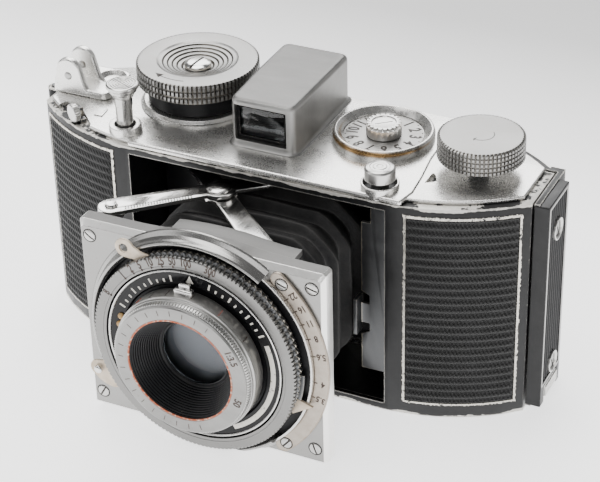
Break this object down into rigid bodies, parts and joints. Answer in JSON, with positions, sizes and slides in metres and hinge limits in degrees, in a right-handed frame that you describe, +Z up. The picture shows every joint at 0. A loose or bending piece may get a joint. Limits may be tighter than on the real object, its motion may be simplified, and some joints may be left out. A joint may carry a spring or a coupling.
{
  "type": "folding camera",
  "caption": "Strut-folding viewfinder film camera: black metal body with ribbed grips, aluminium top plate, bellows and a lens panel on scissor struts, shown open.",
  "frame": {"origin": "middle of the flat underside of the camera body, midway between its front and back faces, under the lens axis", "axes": "+X to the right seen from the lens side, along the body's length; +Y to the back, along the lens axis towards the film; +Z up, from the base to the top controls"},
  "size_m": [0.1246, 0.0748, 0.0653],
  "materials": {
    "black_enamel": "satin enamel, worn to bright metal on the edges",
    "satin_aluminium": "satin, sand-blasted",
    "bright_metal": "polished nickel",
    "leatherette": "ribbed leatherette",
    "black_lacquer": "black lacquer",
    "dark_steel": "oiled steel",
    "bellows_cloth": "folded cloth and leather",
    "glass": "clear",
    "scale_metal": "tarnished",
    "worn_brass": "brass under worn plating"
  },
  "bodies": {
    "camera_body": {"body_shell": "black_enamel", "top_plate": "satin_aluminium", "grip_left": "leatherette", "grip_right": "leatherette", "film_gate": "black_lacquer", "tripod_bush": "worn_brass", "hinge_pin": "dark_steel", "viewfinder_housing": "satin_aluminium", "viewfinder_front_glass": "glass", "viewfinder_eyepiece": "glass", "strap_yoke": "satin_aluminium", "yoke_pin_front": "bright_metal", "yoke_pin_rear": "bright_metal", "counter_bezel": "worn_brass", "release_collar": "satin_aluminium", "fold_button_collar": "satin_aluminium", "bellows": "bellows_cloth"},
    "advance": {"advance_knob": "satin_aluminium", "advance_knob_screw": "dark_steel", "film_sprocket": "bright_metal"},
    "rewind": {"rewind_knob": "satin_aluminium", "rewind_fork": "dark_steel"},
    "frame_counter": {"counter_disc": "bright_metal", "counter_boss": "bright_metal"},
    "release": {"release_button": "satin_aluminium"},
    "fold_release": {"fold_button": "satin_aluminium", "lock_plate": "dark_steel"},
    "unlock": {"unlock_lever": "dark_steel", "unlock_lever_head": "satin_aluminium"},
    "door": {"back_door": "black_enamel", "end_strip": "black_enamel", "end_strip_screw_top": "bright_metal", "end_strip_screw_bottom": "bright_metal", "pressure_plate": "black_lacquer"},
    "latch": {"latch_slide": "dark_steel"},
    "lens_unit": {"lens_panel": "satin_aluminium", "panel_screw_upper_left": "bright_metal", "panel_screw_upper_right": "bright_metal", "panel_screw_lower_left": "bright_metal", "panel_screw_lower_right": "bright_metal", "shutter_housing": "black_lacquer", "aperture_scale": "scale_metal", "scale_screw_upper": "bright_metal", "scale_screw_lower": "bright_metal", "rear_lens": "glass", "shutter_blades": "dark_steel"},
    "speeds": {"speed_ring": "bright_metal"},
    "focus": {"focus_ring": "black_lacquer", "name_ring": "bright_metal", "front_lens": "glass"},
    "cocking": {"cocking_lever": "bright_metal"},
    "shutter_release": {"shutter_release_lever": "bright_metal"},
    "aperture": {"aperture_pointer": "bright_metal"},
    "upper_front_arm": {"upper_strut_front": "bright_metal"},
    "upper_back_arm": {"upper_strut_back": "bright_metal"},
    "lower_front_arm": {"lower_strut_front": "bright_metal"},
    "lower_back_arm": {"lower_strut_back": "bright_metal"}
  },
  "joints": [
    {"name": "panel_fold", "type": "slide", "parent": "camera_body", "child": "lens_unit", "axis": [0, 1, 0], "range_m": [0, 0.025], "deforming": ["bellows"]},
    {"name": "upper_front_arm_turn", "type": "hinge", "parent": "lens_unit", "child": "upper_front_arm", "pos_m": [-0.0253, -0.0356, 0.0477], "axis": [0, 0, 1], "range_deg": [-34.5, 0.2]},
    {"name": "upper_back_arm_turn", "type": "hinge", "parent": "camera_body", "child": "upper_back_arm", "pos_m": [-0.025, -0.004, 0.0465], "axis": [0, 0, 1], "range_deg": [-0.2, 34.5]},
    {"name": "lower_front_arm_turn", "type": "hinge", "parent": "lens_unit", "child": "lower_front_arm", "pos_m": [-0.0253, -0.0356, 0.0037], "axis": [0, 0, 1], "range_deg": [-34.5, 0.2]},
    {"name": "lower_back_arm_turn", "type": "hinge", "parent": "camera_body", "child": "lower_back_arm", "pos_m": [-0.025, -0.004, 0.0049], "axis": [0, 0, 1], "range_deg": [-0.2, 34.5]},
    {"name": "advance_turn", "type": "hinge", "parent": "camera_body", "child": "advance", "pos_m": [-0.02525, 0.0049, 0.0617], "axis": [0, 0, 1], "continuous": true},
    {"name": "counter_turn", "type": "hinge", "parent": "camera_body", "child": "frame_counter", "pos_m": [0.02, 0.0047, 0.055], "axis": [0, 0, 1], "continuous": true},
    {"name": "rewind_turn", "type": "hinge", "parent": "camera_body", "child": "rewind", "pos_m": [0.0438, 0.001, 0.059], "axis": [0, 0, 1], "continuous": true},
    {"name": "release_press", "type": "slide", "parent": "camera_body", "child": "release", "axis": [0, 0, -1], "range_m": [0, 0.003], "stiffness_N_per_m": 400},
    {"name": "fold_button_press", "type": "slide", "parent": "camera_body", "child": "fold_release", "axis": [0, 0, -1], "range_m": [0, 0.0018], "stiffness_N_per_m": 500},
    {"name": "unlock_slide", "type": "slide", "parent": "camera_body", "child": "unlock", "axis": [-0.8553, 0.5182, 0], "range_m": [0, 0.002]},
    {"name": "door_swing", "type": "hinge", "parent": "camera_body", "child": "door", "pos_m": [-0.0606, 0, 0.027], "axis": [0, 0, 1], "range_deg": [0, 110]},
    {"name": "latch_slide_move", "type": "slide", "parent": "door", "child": "latch", "axis": [0, 0, -1], "range_m": [0, 0.002]},
    {"name": "speed_ring_turn", "type": "hinge", "parent": "lens_unit", "child": "speeds", "pos_m": [0.0004, -0.048, 0.0257], "axis": [0, -1, 0], "range_deg": [-60, 40]},
    {"name": "focus_turn", "type": "hinge", "parent": "lens_unit", "child": "focus", "pos_m": [0.0004, -0.048, 0.0257], "axis": [0, -1, 0], "range_deg": [-250, 0]},
    {"name": "cocking_swing", "type": "hinge", "parent": "lens_unit", "child": "cocking", "pos_m": [0.0004, -0.048, 0.0257], "axis": [0, -1, 0], "range_deg": [0, 45]},
    {"name": "shutter_trip", "type": "hinge", "parent": "lens_unit", "child": "shutter_release", "pos_m": [0.0004, -0.048, 0.0257], "axis": [0, -1, 0], "range_deg": [0, 12]},
    {"name": "aperture_turn", "type": "hinge", "parent": "lens_unit", "child": "aperture", "pos_m": [0.0004, -0.048, 0.0257], "axis": [0, -1, 0], "range_deg": [0, 55]}
  ],
  "couplings": [
    {"joint": "upper_front_arm_turn", "follows": "panel_fold", "rad_per_m": -23.736},
    {"joint": "upper_back_arm_turn", "follows": "panel_fold", "rad_per_m": 23.736},
    {"joint": "lower_front_arm_turn", "follows": "panel_fold", "rad_per_m": -23.736},
    {"joint": "lower_back_arm_turn", "follows": "panel_fold", "rad_per_m": 23.736},
    {"joint": "counter_turn", "follows": "advance_turn", "ratio": -0.083333}
  ]
}
